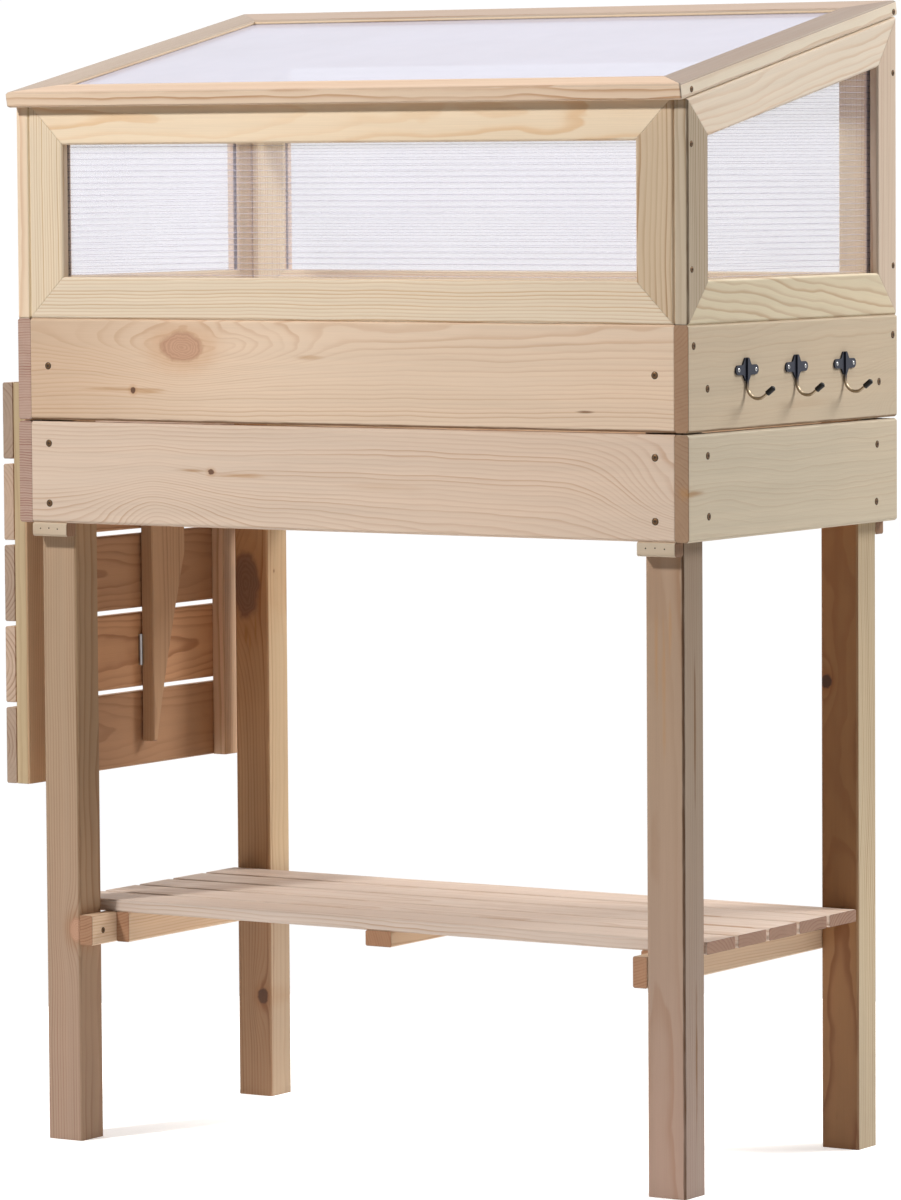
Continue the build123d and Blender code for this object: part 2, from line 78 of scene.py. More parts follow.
class Graph:
    """Short calls for wiring shader nodes."""

    def __init__(self, tree):
        self.tree = tree

    def add(self, kind, inputs=None, **settings):
        node = self.tree.nodes.new(kind)
        for key, value in settings.items():
            setattr(node, key, value)
        for key, value in (inputs or {}).items():
            self.put(node.inputs[key], value)
        return node

    def put(self, socket, value):
        if isinstance(value, bpy.types.NodeSocket):
            self.tree.links.new(value, socket)
        else:
            socket.default_value = value

    def math(self, operation, *values, clamp=False):
        node = self.add("ShaderNodeMath", operation=operation, use_clamp=clamp)
        for socket, value in zip(node.inputs, values):
            self.put(socket, value)
        return node.outputs[0]

    def scaled(self, value, factor, addend):
        """The value times the factor, plus the addend."""
        return self.math("MULTIPLY_ADD", value, factor, addend)

    def vector(self, operation, *values):
        node = self.add("ShaderNodeVectorMath", operation=operation)
        for socket, value in zip(node.inputs, values):
            self.put(socket, value)
        return node.outputs["Value" if operation in ("LENGTH", "DOT_PRODUCT") else "Vector"]

    def mix(self, factor, a, b, blend="MIX"):
        node = self.add("ShaderNodeMix", data_type="RGBA", blend_type=blend)
        for index, value in ((0, factor), (6, a), (7, b)):
            self.put(node.inputs[index], value)
        return node.outputs[2]

    def tint(self, color, by):
        return self.mix(1.0, color, by, "MULTIPLY")

    def step(self, value, low, high, to_low=0.0, to_high=1.0):
        node = self.add("ShaderNodeMapRange", interpolation_type="SMOOTHSTEP")
        for index, item in enumerate((value, low, high, to_low, to_high)):
            self.put(node.inputs[index], item)
        return node.outputs[0]

    def noise(self, place, cells, detail=2.0, roughness=0.5):
        """Soft noise, with its number of cells per metre in each direction."""
        stretched = self.vector("MULTIPLY", place, cells)
        inputs = {"Vector": stretched, "Scale": 1.0, "Detail": detail, "Roughness": roughness}
        return self.add("ShaderNodeTexNoise", inputs).outputs[0]

    def ripple(self, place, cells, detail=2.0, roughness=0.5):
        """Noise around zero."""
        return self.math("SUBTRACT", self.noise(place, cells, detail, roughness), 0.5)

    def chance(self, seed):
        return self.add("ShaderNodeTexWhiteNoise", {"W": seed}, noise_dimensions="1D").outputs[0]

    def combine(self, *values):
        node = self.add("ShaderNodeCombineXYZ")
        for socket, value in zip(node.inputs, values):
            self.put(socket, value)
        return node.outputs[0]

    def grey(self, tone):
        return self.combine(tone, tone, tone)

    def separate(self, value):
        return self.add("ShaderNodeSeparateXYZ", {0: value}).outputs


# Noise cells per metre along, across and through the grain
WAVE_U_CELLS = (2.6, 5, 5)
WAVE_V_CELLS = (3.4, 7, 7)
BEND_CELLS = (11, 26, 26)
FINE_CELLS = (9, 60, 60)
PATCH_CELLS = (3.0, 20, 20)
FIBRE_CELLS = (14, 1500, 1500)
STREAK_CELLS = (2.2, 90, 90)
CLOUD_CELLS = (2.0, 9, 9)
PORE_CELLS = (60, 700, 700)
SWAY_CELLS = (16, 40, 40)
RAGGED_CELLS = (30, 400, 400)

# How far each noise moves a growth ring, and how much it shades the wood
BEND_SHIFT = 0.35
FINE_SHIFT = 0.35
FIBRE_TONE = 0.16
STREAK_TONE = 0.18
CLOUD_TONE = 0.14
WARM_SHARE = 0.28
WARM_TINT = (1.02, 0.93, 0.86, 1)
END_GRAIN_TINT = (0.72, 0.66, 0.66, 1)

# Knots, resin and the surface of the wood
KNOT_HEART = srgb(202, 158, 130)
KNOT_RIM = srgb(150, 100, 72)
KNOT_DARK = srgb(58, 31, 12)
KNOT_HALO_TINT = (0.84, 0.66, 0.5, 1)
KNOT_RINGS = 40.0
KNOT_WOBBLE = 0.55
KNOT_PARTING = -0.85
KNOT_FLOW = 1.7
RESIN = srgb(176, 126, 70)
ARROW_POINT = 0.012
ARROW_REACH = 1.1
ARROW_SWAY = 0.02
SLAT_SEED_STEP = 5.37
SLAT_TINT_LEAST = 0.92
SLAT_TINT_RANGE = 0.16
WOOD_ROUGHNESS = 0.62
WOOD_SPECULAR = 0.3
GRAIN_BUMP = {"Strength": 0.25, "Distance": 0.0006}
ARRIS_RADIUS = 0.0022


def pine_group():
    """Growth rings around a pith line, with fibres: the same figure on face, edge and end."""
    tree = bpy.data.node_groups.new("pine", "ShaderNodeTree")
    sockets = (
        ("Place", "Vector"), ("Seed", "Float"), ("Tilt", "Float"), ("Pith U", "Float"), ("Pith V", "Float"),
        ("Ring", "Float"), ("Wave", "Float"), ("Bend", "Float"), ("Part", "Float"), ("Pale", "Color"),
        ("Late", "Color"), ("Strength", "Float"), ("End", "Float"), ("End Tint", "Color"),
    )
    for name, kind in sockets:
        tree.interface.new_socket(name, in_out="INPUT", socket_type="NodeSocket" + kind)
    tree.interface.new_socket("Color", in_out="OUTPUT", socket_type="NodeSocketColor")
    tree.interface.new_socket("Height", in_out="OUTPUT", socket_type="NodeSocketFloat")
    g = Graph(tree)
    given = g.add("NodeGroupInput").outputs
    place, seed, wave = given["Place"], given["Seed"], given["Wave"]
    shift = g.combine(g.math("MULTIPLY", seed, 3.7), g.math("MULTIPLY", seed, 1.9), seed)
    shifted = g.vector("ADD", place, shift)

    def elsewhere(*offset):
        return g.vector("ADD", shifted, offset)

    # Distance from the wavy pith line
    parts = g.separate(place)
    wave_u = g.ripple(shifted, WAVE_U_CELLS, 1.5)
    wave_v = g.ripple(elsewhere(5.2, 1.3, 8.8), WAVE_V_CELLS, 1.5)
    bend = g.ripple(elsewhere(7.7, 2.1, 6.3), BEND_CELLS)
    fine = g.ripple(shifted, FINE_CELLS)
    u = g.math("SUBTRACT", parts[1], given["Pith U"])
    u = g.math("ADD", g.scaled(wave_u, wave, u), given["Part"])
    v = g.math("SUBTRACT", parts[2], given["Pith V"])
    v = g.scaled(parts[0], given["Tilt"], v)
    v = g.scaled(wave_v, wave, v)
    radius = g.math("SQRT", g.math("ADD", g.math("MULTIPLY", u, u), g.math("MULTIPLY", v, v)))
    radius = g.math("ADD", radius, given["Bend"])
    radius = g.scaled(g.math("MULTIPLY", bend, wave), BEND_SHIFT, radius)

    # Late wood: each year a soft rise, a line and a sharp end
    phase = g.math("DIVIDE", radius, given["Ring"])
    phase = g.scaled(fine, FINE_SHIFT, phase)
    year = g.math("FLOOR", phase)
    season = g.math("FRACT", phase)
    chance = g.chance(g.math("ADD", year, seed))
    soft = g.math("MULTIPLY", g.step(season, 0.1, 0.9), 0.3)
    line = g.math("MULTIPLY", g.step(season, 0.5, 0.86), 0.7)
    late = g.math("MULTIPLY", g.math("ADD", soft, line), g.step(season, 0.9, 1.0, 1.0, 0.0))
    late = g.math("MULTIPLY", late, g.scaled(chance, 0.8, 0.3))
    patch = g.noise(elsewhere(1.4, 6.6, 2.9), PATCH_CELLS, 1.0)
    late = g.math("MULTIPLY", late, g.step(patch, 0.25, 0.62, 0.35, 1.0))

    # Colour, with fibres, streaks and clouds
    fibre = g.ripple(shifted, FIBRE_CELLS, 2.0, 0.6)
    streak = g.ripple(shifted, STREAK_CELLS)
    cloud = g.ripple(elsewhere(3.1, 9.7, 4.4), CLOUD_CELLS)
    color = g.mix(g.math("MULTIPLY", late, given["Strength"], clamp=True), given["Pale"], given["Late"])
    tone = g.scaled(fibre, FIBRE_TONE, 1.0)
    tone = g.scaled(streak, STREAK_TONE, tone)
    tone = g.scaled(cloud, CLOUD_TONE, tone)
    color = g.tint(color, g.grey(tone))
    warm = g.step(cloud, -0.12, 0.3)
    color = g.mix(g.math("MULTIPLY", warm, WARM_SHARE), color, g.tint(color, WARM_TINT))
    pores = g.step(g.noise(shifted, PORE_CELLS), 0.56, 0.72)
    ends = g.tint(color, given["End Tint"])
    shade = g.scaled(pores, 0.25, g.math("MULTIPLY", late, 0.3))
    ends = g.mix(shade, ends, g.tint(ends, END_GRAIN_TINT))
    color = g.mix(given["End"], color, ends)
    height = g.scaled(late, 0.5, g.math("MULTIPLY", fibre, 0.6))
    out = g.add("NodeGroupOutput")
    g.put(out.inputs["Color"], color)
    g.put(out.inputs["Height"], height)
    return tree


PINE = pine_group()


def dress(node, material):
    """Gives a CAD node one material."""
    nodes[node].data.materials.clear()
    nodes[node].data.materials.append(material)


def shaded(name):
    """A new material with its graph and its shader."""
    material = bpy.data.materials.new(name)
    material.use_nodes = True
    return material, Graph(material.node_tree), material.node_tree.nodes["Principled BSDF"]


def pine(node, along, face, pale, late, ring=0.0045, pith=(0.02, 0.0, -0.05), wave=0.012, strength=0.75,
         knots=(), arrows=(), streaks=(), split=None, painted_light_and_shade=None, painted_shade_drift=None, end_tint=(0.53, 0.39, 0.32)):
    """Gives a timber node its own cut of pine. Along is the grain and face the broad side's normal.

    Pale and late are the colours of early and late wood, ring is the width of a growth ring.
    Pith is the tilt of the pith line and its place across and behind the piece.
    Knots are (point, half length and half width, darkness, swirl, stretch).
    A knot with no darkness only makes the grain swirl.
    Arrows are (point, half length, half width, depth): nested points of grain on both sides of a knot.
    Streaks are (point, half length, half width, darkness).
    Split is (pitch, count, contrast) for a node of several slats.
    Painted light and shade is a side and its tint: painted shade where the tint darkens that side, painted
    light where it lightens it.
    Painted shade drift is (start, stop, tint): painted shade, the tint at the start of that stretch along
    the grain, gone at its stop.
    """
    across = face.cross(along)
    low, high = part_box(node)
    middle = (low + high) / 2
    chooser = random.Random(node)
    material, g, shader = shaded("pine_" + node)
    coordinates = g.add("ShaderNodeTexCoord").outputs
    normal = coordinates["Normal"]
    relative = g.vector("SUBTRACT", coordinates["Object"], tuple(middle))
    l, u, v = (g.vector("DOT_PRODUCT", relative, tuple(d)) for d in (along, across, face))
    seed = chooser.uniform(1, 40)
    tint = None
    if split:
        pitch, count, contrast = split
        start = -pitch * count / 2
        index = g.math("FLOOR", g.math("DIVIDE", g.math("SUBTRACT", u, start), pitch))
        u = g.math("SUBTRACT", u, g.scaled(index, pitch, start + pitch / 2))
        seed = g.scaled(index, SLAT_SEED_STEP, seed)
        tint = g.scaled(g.chance(seed), SLAT_TINT_RANGE, SLAT_TINT_LEAST)
        odd = g.math("MODULO", index, 2.0)
        tint = g.scaled(g.math("SUBTRACT", odd, 0.5), contrast, tint)
    place = g.combine(l, u, v)

    def local(point):
        offset = Vector(point) - middle
        return offset.dot(along), offset.dot(across), offset.dot(face)

    # Grain that flows round the knots and runs out into arrows
    bend, part = 0.0, 0.0
    marks = []
    for point, (long, size), darkness, swirl, stretch in knots:
        offset = g.vector("SUBTRACT", place, local(point))
        flow = g.vector("LENGTH", g.vector("MULTIPLY", offset, (1 / stretch, 1, 0.3)))
        flow = g.math("DIVIDE", flow, size * KNOT_FLOW)
        flow = g.math("EXPONENT", g.math("MULTIPLY", g.math("MULTIPLY", flow, flow), -1.0))
        bend = g.scaled(flow, swirl, bend)
        if darkness is None:
            continue
        part = g.scaled(g.math("MULTIPLY", flow, g.separate(offset)[1]), KNOT_PARTING, part)
        cells = 1.1 / size
        wobble = g.ripple(place, (cells, cells, cells), 3.0, 0.6)
        distance = g.vector("LENGTH", g.vector("MULTIPLY", offset, (size / long, 1, 0.15)))
        distance = g.scaled(wobble, size * KNOT_WOBBLE, distance)
        marks.append((g.math("DIVIDE", distance, size), darkness))
    for point, long, wide, depth in arrows:
        sway = g.math("MULTIPLY", g.ripple(place, SWAY_CELLS), ARROW_SWAY)
        swayed = g.vector("ADD", place, g.combine(sway, g.math("MULTIPLY", sway, 0.6), 0.0))
        offset = g.vector("SUBTRACT", swayed, local(point))
        offset = g.vector("MULTIPLY", offset, (1 / long, 1 / wide, 0))
        legs = g.separate(g.vector("MULTIPLY", offset, offset))
        run, rise = (g.math("SQRT", g.math("ADD", leg, ARROW_POINT)) for leg in legs[:2])
        near = g.math("SUBTRACT", ARROW_REACH, g.math("ADD", run, rise), clamp=True)
        bend = g.scaled(g.math("MULTIPLY", near, near), depth, bend)

    end = g.step(g.math("ABSOLUTE", g.vector("DOT_PRODUCT", normal, tuple(along))), 0.6, 0.8)
    grain = g.add("ShaderNodeGroup", node_tree=PINE)
    values = {
        "Place": place, "Seed": seed, "Tilt": pith[0], "Pith U": pith[1], "Pith V": pith[2],
        "Ring": ring, "Wave": wave, "Bend": bend, "Part": part, "Pale": srgb(*pale), "Late": srgb(*late),
        "Strength": strength, "End": end, "End Tint": (*end_tint, 1),
    }
    for key, value in values.items():
        g.put(grain.inputs[key], value)

    # Tints of slats, painted light and shade on one side, painted shade along the grain, then streaks and
    # knots on top
    color = grain.outputs["Color"]
    if split:
        color = g.tint(color, g.grey(tint))
    # Painted light and shade: one side of the piece tinted lighter or darker
    if painted_light_and_shade:
        painted_side_mask = g.step(g.vector("DOT_PRODUCT", normal, tuple(painted_light_and_shade[0])), 0.4, 0.8)
        color = g.mix(painted_side_mask, color, g.tint(color, (*painted_light_and_shade[1], 1)))
    # Painted shade: the piece darker along part of its grain, such as towards a leg's foot
    if painted_shade_drift:
        shade_drift_mask = g.step(l, painted_shade_drift[0], painted_shade_drift[1], 1.0, 0.0)
        color = g.mix(shade_drift_mask, color, g.tint(color, (*painted_shade_drift[2], 1)))
    for point, long, wide, darkness in streaks:
        offset = g.vector("SUBTRACT", place, local(point))
        reach = g.vector("LENGTH", g.vector("MULTIPLY", offset, (1 / long, 1 / wide, 1 / wide)))
        ragged = g.scaled(g.noise(place, RAGGED_CELLS), 0.9, reach)
        stain = g.mix(max(0.0, 2 * darkness - 1), RESIN, KNOT_DARK)
        color = g.mix(g.step(ragged, 0.55, 1.35, darkness, 0.0), color, stain)
    for distance, darkness in marks:
        halo = g.step(distance, 0.9, 2.3, 0.5, 0.0)
        color = g.mix(halo, color, g.tint(color, KNOT_HALO_TINT))
        rings = g.scaled(g.math("SINE", g.math("MULTIPLY", distance, KNOT_RINGS)), 0.16, 0.26)
        core = g.mix(rings, KNOT_HEART, KNOT_RIM)
        core = g.mix(darkness, core, KNOT_DARK)
        core = g.mix(g.step(distance, 0.7, 1.0, 0.0, 0.45), core, KNOT_RIM)
        cover = 0.8 + 0.2 * darkness
        color = g.mix(g.step(distance, 0.8, 1.12, cover, 0.0), color, core)

    height = grain.outputs["Height"]
    arris = g.add("ShaderNodeBevel", {"Radius": ARRIS_RADIUS}, samples=4).outputs[0]
    bump = g.add("ShaderNodeBump", {"Height": height, "Normal": arris, **GRAIN_BUMP})
    g.put(shader.inputs["Base Color"], color)
    g.put(shader.inputs["Roughness"], g.scaled(height, -0.1, WOOD_ROUGHNESS))
    g.put(shader.inputs["Normal"], bump.outputs[0])
    shader.inputs["Specular IOR Level"].default_value = WOOD_SPECULAR
    dress(node, material)


# Points on the faces that show knots and streaks
def on_front(x, z):
    return x, FRONT, z


def on_right(y, z):
    return RIGHT, y, z


def on_front_leg(x, z):
    return x, FRONT_LEG_FACE, z


def on_rear_leg(x, z):
    return x, REAR_LEG_FACE, z


# Bed boards
BIG_KNOT = on_front(-0.2184, 0.9309)
END_KNOT = on_front(0.4492, 0.778)
# Painted shade: the board darker towards its left end
pine("board_front_upper", X, -Y, (229, 203, 177), (192, 146, 107),
     ring=0.0046, pith=(0.02, 0.06, -0.03), wave=0.013, strength=0.5, painted_shade_drift=(-0.46, -0.1, (0.8, 0.75, 0.7)),
     knots=[(BIG_KNOT, (0.0305, 0.0172), 0.0, 0.006, 2.2),
            (on_front(-0.2875, 0.8807), (0.0038, 0.004), 0.85, 0.003, 4.0)],
     arrows=[(BIG_KNOT, 0.27, 0.08, -0.062), (on_front(-0.11, 0.916), 0.24, 0.045, -0.014)],
     streaks=[(on_front(0.32, 0.8657), 0.016, 0.0022, 0.85), (on_front(-0.31, 0.8815), 0.075, 0.003, 0.55),
              (on_front(-0.268, 0.8795), 0.036, 0.005, 0.5), (on_front(-0.045, 0.921), 0.028, 0.0045, 0.4),
              ((MIDDLE, FRONT + ARRIS, SEAM), 3.0, 0.0034, 0.85)])
pine("board_front_lower", X, -Y, (218, 195, 174), (188, 149, 120),
     ring=0.0046, pith=(0.012, -0.085, -0.045), wave=0.016, strength=0.62,
     knots=[(on_front(-0.1798, 0.7888), (0.0042, 0.0034), 0.8, 0.003, 5.0),
            (on_front(-0.2443, 0.704), (0.03, 0.03), None, -0.024, 1.2),
            (on_front(-0.15, 0.7), (0.04, 0.04), None, -0.024, 3.0),
            (END_KNOT, (0.03, 0.03), None, 0.06, 1.7),
            (END_KNOT, (0.011, 0.015), 0.15, 0.0, 1.6)],
     arrows=[(on_front(-0.26, 0.75), 0.17, 0.11, -0.03)],
     streaks=[(on_front(-0.205, 0.79), 0.04, 0.0026, 0.6), (on_front(-0.14, 0.7855), 0.06, 0.0045, 0.5),
              (on_front(0.05, 0.777), 0.09, 0.008, 0.14)])
pine("board_right_upper", Y, X, (214, 195, 168), (192, 157, 120),
     ring=0.0044, pith=(0.02, 0.09, -0.05), wave=0.026, strength=0.32,
     knots=[(on_right(0.244, 0.866), (0.02, 0.02), None, 0.04, 1.4)],
     streaks=[(on_right(0.03, 0.868), 0.1, 0.01, 0.14),
              ((RIGHT - ARRIS, CENTRE, SEAM), 3.0, 0.003, 0.8)])
pine("board_right_lower", Y, X, (214, 199, 174), (192, 161, 128),
     ring=0.0044, pith=(0.02, -0.09, -0.06), wave=0.026, strength=0.24,
     streaks=[(on_right(-0.222, 0.7787), 0.034, 0.006, 0.62),
              ((RIGHT - 0.006, FRONT, 0.7787), 0.03, 0.012, 0.4)])
for course in ("upper", "lower"):
    pine("board_left_" + course, Y, -X, (228, 212, 200), (190, 150, 132),
         ring=0.003, pith=(0.0, 0.4, 0.0), strength=1.2, end_tint=(0.62, 0.5, 0.45))
pine("board_rear_upper", X, Y, (222, 197, 170), (194, 152, 118),
     knots=[((0.1172, REAR, 0.905), (0.016, 0.012), 0.2, 0.012, 2.6)])
pine("board_rear_lower", X, Y, (222, 197, 170), (194, 152, 118),
     knots=[((-0.2628, REAR, 0.79), (0.012, 0.009), 0.5, 0.01, 2.6)])
pine("corner_blocks", X, -Y, (201, 182, 158), (178, 146, 114), ring=0.004, pith=(0.0, 0.03, -0.09))

# Legs
STRAIGHT = dict(ring=0.0034, pith=(0.004, 0.16, -0.05), wave=0.008)
# Painted shade: the right face darker, and the leg darker towards its foot
pine("leg_front_left", Z, -Y, (174, 147, 120), (143, 108, 79),
     painted_light_and_shade=(X, (0.9, 0.86, 0.76)), painted_shade_drift=(-0.46, 0.1, (0.86, 0.84, 0.94)),
     knots=[(on_front_leg(-0.3882, 0.2482), (0.0145, 0.011), 0.1, 0.006, 2.2)], **STRAIGHT)
# Painted shade: the right face a little darker, and the leg darker towards its foot
pine("leg_front_right", Z, -Y, (165, 139, 116), (142, 104, 73),
     ring=0.0036, pith=(0.006, 0.012, -0.09), wave=0.01,
     painted_light_and_shade=(X, (0.86, 0.95, 1.02)), painted_shade_drift=(-0.46, 0.1, (0.88, 0.86, 0.97)),
     streaks=[((FRONT_RIGHT_LEG_SIDE, -0.19, 0.517), 0.13, 0.0034, 0.85),
              ((FRONT_RIGHT_LEG_SIDE, -0.189, 0.158), 0.12, 0.0034, 0.85),
              (on_front_leg(0.3975, 0.6), 0.09, 0.004, 0.4), (on_front_leg(0.407, 0.56), 0.13, 0.0035, 0.4),
              (on_front_leg(0.415, 0.63), 0.05, 0.0035, 0.35),
              ((0.4314, -0.2136, 0.45), 1.6, 0.0034, 0.95)])
# Painted shade: the front face darker, and darker still from about the shelf down
pine("leg_rear_left", Z, -Y, (202, 175, 140), (166, 126, 90),
     ring=0.0036, pith=(0.004, 0.1, -0.05), wave=0.012,
     painted_light_and_shade=(-Y, (0.82, 0.66, 0.55)), painted_shade_drift=(-0.22, -0.15, (0.66, 0.66, 0.72)),
     knots=[(on_rear_leg(-0.4154, 0.6263), (0.043, 0.021), 0.66, 0.02, 2.6),
            (on_rear_leg(-0.3956, 0.1229), (0.011, 0.008), 0.9, 0.008, 3.0)],
     streaks=[((REAR_LEFT_LEG_SIDE, 0.1968, 0.6435), 0.004, 0.003, 0.8),
              (on_rear_leg(-0.416, 0.566), 0.02, 0.0045, 0.6),
              (on_rear_leg(-0.402, 0.574), 0.026, 0.003, 0.6),
              (on_rear_leg(-0.41, 0.555), 0.03, 0.003, 0.55)])
# Painted shade: the front face much darker, and the leg darker towards its foot
pine("leg_rear_right", Z, -Y, (200, 181, 150), (162, 128, 94),
     ring=0.004, pith=(0.02, 0.0, -0.06), wave=0.02, strength=1.0,
     painted_light_and_shade=(-Y, (0.51, 0.315, 0.195)), painted_shade_drift=(-0.46, -0.15, (0.76, 0.76, 0.78)),
     knots=[(on_rear_leg(0.391, 0.541), (0.009, 0.0075), 0.95, 0.008, 2.6)])

# Floor and shelf
FLOOR_SPLIT = (0.0967, 8, 0.0)
SHELF_SLATS = 5
pine("floor_bearers", X, -Y, (214, 186, 154), (186, 146, 110))
pine("floor_slats", Y, Z, (218, 190, 158), (190, 148, 112), split=FLOOR_SPLIT)
for side in ("left", "right"):
    pine("shelf_ledger_" + side, Y, X, (210, 184, 156), (180, 142, 108), **STRAIGHT)
    pine("shelf_cleat_" + side, Y, X, (214, 186, 156), (184, 144, 108), **STRAIGHT)
pine("shelf_cleat_centre", Y, Z, (206, 178, 148), (176, 136, 104), **STRAIGHT)
for i in range(1, SHELF_SLATS + 1):
    pine(f"shelf_slat_{i}", X, Z, (202, 184, 170), (174, 141, 114),
         ring=0.0046, pith=(0.015, 0.02 * (i - 3), -0.05), wave=0.018)

# Cold frame
pine("wall_front_top_rail", X, -Y, (239, 217, 187), (224, 184, 138),
     ring=0.0068, pith=(0.03, 0.004, -0.022), wave=0.03, strength=0.8)
pine("wall_front_sill", X, -Y, (231, 213, 188), (208, 174, 136),
     ring=0.0038, pith=(0.004, 0.12, -0.04), wave=0.01, strength=1.0)
pine("wall_front_stile_left", Z, -Y, (230, 211, 184), (202, 168, 126), strength=1.2, **STRAIGHT)
pine("wall_front_stile_right", Z, -Y, (210, 186, 156), (170, 133, 96),
     ring=0.0045, pith=(0.012, 0.05, -0.05), wave=0.012, strength=1.0)
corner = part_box("wall_right_stile_left")[0].xyz
pine("wall_right_stile_left", Z, X, (196, 179, 155), (156, 130, 101), strength=1.2, **STRAIGHT,
     streaks=[((RIGHT, corner.y, 1.08), 1.5, 0.003, 0.9), ((corner.x, corner.y, 1.08), 1.5, 0.0024, 0.9)])
pine("wall_right_stile_right", Z, X, (230, 209, 187), (198, 160, 130), strength=1.0, **STRAIGHT)
pine("wall_right_top_rail", UP_SLOPE, X, (248, 231, 209), (225, 189, 154),
     ring=0.005, pith=(0.012, 0.03, -0.05), wave=0.016)
pine("wall_right_sill", (Y - 0.12 * Z).normalized(), X, (234, 218, 187), (190, 152, 112),
     ring=0.011, pith=(0.01, 0.1, -0.03), wave=0.05, strength=0.6)
# Painted light and shade on the inner faces: the rear wall's lighter, the left wall's a little darker
for wall, out, rail, top, inner_light_and_shade_tint in (
    ("rear", Y, X, X, (1.15, 1.3, 1.28)), ("left", -X, Y, UP_SLOPE, (0.89, 0.95, 0.88)),
):
    inner_light_and_shade = (-out, inner_light_and_shade_tint)
    pine(f"wall_{wall}_sill", rail, out, (232, 208, 180), (206, 164, 128), painted_light_and_shade=inner_light_and_shade, **STRAIGHT)
    pine(f"wall_{wall}_top_rail", top, out, (232, 208, 180), (206, 164, 128))
    for side in ("left", "right"):
        pine(f"wall_{wall}_stile_{side}", Z, out, (234, 210, 182), (206, 164, 128),
             painted_light_and_shade=inner_light_and_shade, **STRAIGHT)
# Painted shade: the upper faces of the lid's rails and stiles darker
pine("lid_sill", X, OFF_SLOPE, (232, 206, 179), (198, 156, 120),
     ring=0.0042, pith=(0.006, 0.05, -0.04), strength=1.0, painted_light_and_shade=(OFF_SLOPE, (0.76, 0.74, 0.74)))
pine("lid_top_rail", X, OFF_SLOPE, (232, 208, 175), (204, 164, 122),
     painted_light_and_shade=(OFF_SLOPE, (0.54, 0.53, 0.62)), **STRAIGHT)
pine("lid_stile_left", UP_SLOPE, OFF_SLOPE, (220, 197, 166), (190, 150, 114),
     painted_light_and_shade=(OFF_SLOPE, (0.57, 0.59, 0.7)), **STRAIGHT)
pine("lid_stile_right", UP_SLOPE, OFF_SLOPE, (248, 233, 210), (219, 187, 156),
     strength=1.0, painted_light_and_shade=(OFF_SLOPE, (0.325, 0.295, 0.305)), **STRAIGHT)

# Side table
TABLE_SPLIT = (0.0952, 5, 0.3)
# Painted shade: the inner face of the slats darker
pine("table_slats", Y, X, (212, 183, 152), (167, 129, 96),
     ring=0.005, pith=(0.03, 0.0, -0.04), wave=0.02, split=TABLE_SPLIT,
     painted_light_and_shade=(X, (0.745, 0.577, 0.467)), end_tint=(0.692, 0.693, 0.766),
     knots=[((-0.4726, 0.2179, 0.5446), (0.008, 0.006), 0.8, 0.006, 2.4)])
# Painted light: the inner face of the front batten lighter
pine("table_batten_front", Z, X, (190, 167, 132), (156, 122, 88), painted_light_and_shade=(X, (1.4, 1.22, 1.2)), **STRAIGHT)
pine("table_batten_rear", Z, X, (217, 182, 150), (174, 131, 98), **STRAIGHT)
pine("bracket", Z, X, (188, 151, 117), (152, 112, 80), ring=0.0042, pith=(0.012, 0.04, -0.05))


def surface(name, color, metallic=0.0, roughness=0.5, spread=0.06, scale=220.0, bump=0.1):
    """A plain finish with fine variation in colour and gloss."""
    material, g, shader = shaded(name)
    place = g.add("ShaderNodeTexCoord").outputs["Object"]
    speck = g.ripple(place, (scale, scale, scale), 3.0)
    cloud = g.ripple(place, (scale / 8, scale / 8, scale / 8))
    tone = g.scaled(speck, spread * 2, g.scaled(cloud, spread * 2, 1.0))
    g.put(shader.inputs["Base Color"], g.tint(color, g.grey(tone)))
    g.put(shader.inputs["Roughness"], g.scaled(cloud, 0.3, roughness))
    height = g.add("ShaderNodeBump", {"Height": speck, "Strength": bump, "Distance": 0.0003})
    g.put(shader.inputs["Normal"], height.outputs[0])
    shader.inputs["Metallic"].default_value = metallic
    return material, g, shader


# Metal: zinc hinges, hooks with a dark plate and a brass-toned wire, black tips, screws
SCREW_GRAIN = 900.0
HOOK_FADE = (0.036, 0.024)
zinc = surface("zinc_plate", srgb(168, 168, 170), 1.0, 0.35)[0]
for node in ("hinge_leaves_bed", "hinge_leaves_lid", "hinge_leaves_table", "hinge_leaves_bracket"):
    dress(node, zinc)
hook_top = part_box("hooks")[1].z
gunmetal, g, shader = surface("gunmetal", srgb(58, 60, 70), 1.0, 0.32)
height = g.separate(g.add("ShaderNodeTexCoord").outputs["Object"])[2]
below = g.step(height, hook_top - HOOK_FADE[0], hook_top - HOOK_FADE[1], 1.0, 0.0)
base = shader.inputs["Base Color"].links[0].from_socket
g.put(shader.inputs["Base Color"], g.mix(below, base, srgb(150, 134, 112)))
dress("hooks", gunmetal)
tip, g, shader = surface("black_tip", srgb(20, 17, 14), 0.0, 0.4)
shader.inputs["Specular IOR Level"].default_value = 0.25
dress("hook_tips", tip)
screw_metal = surface("screw_brass", srgb(100, 76, 54), 1.0, 0.38, spread=0.12, scale=SCREW_GRAIN)[0]
# Dark colour of the brads, and painted shade in the screws' recesses and round their heads
brad_dark_and_recess_shade = surface("brad_dark_and_recess_shade_finish", srgb(34, 27, 20), 0.0, 0.8, spread=0.1, scale=SCREW_GRAIN)[0]
bright = surface("screw_bright", srgb(190, 190, 190), 1.0, 0.22, scale=SCREW_GRAIN)[0]


def piece(name, mesh, body, slot, *materials):
    """A finished mesh becomes a piece that rides on a body."""
    item = bpy.data.objects.new(name, mesh)
    bpy.context.scene.collection.objects.link(item)
    for material in materials:
        mesh.materials.append(material)
    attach(item, body)
    return item


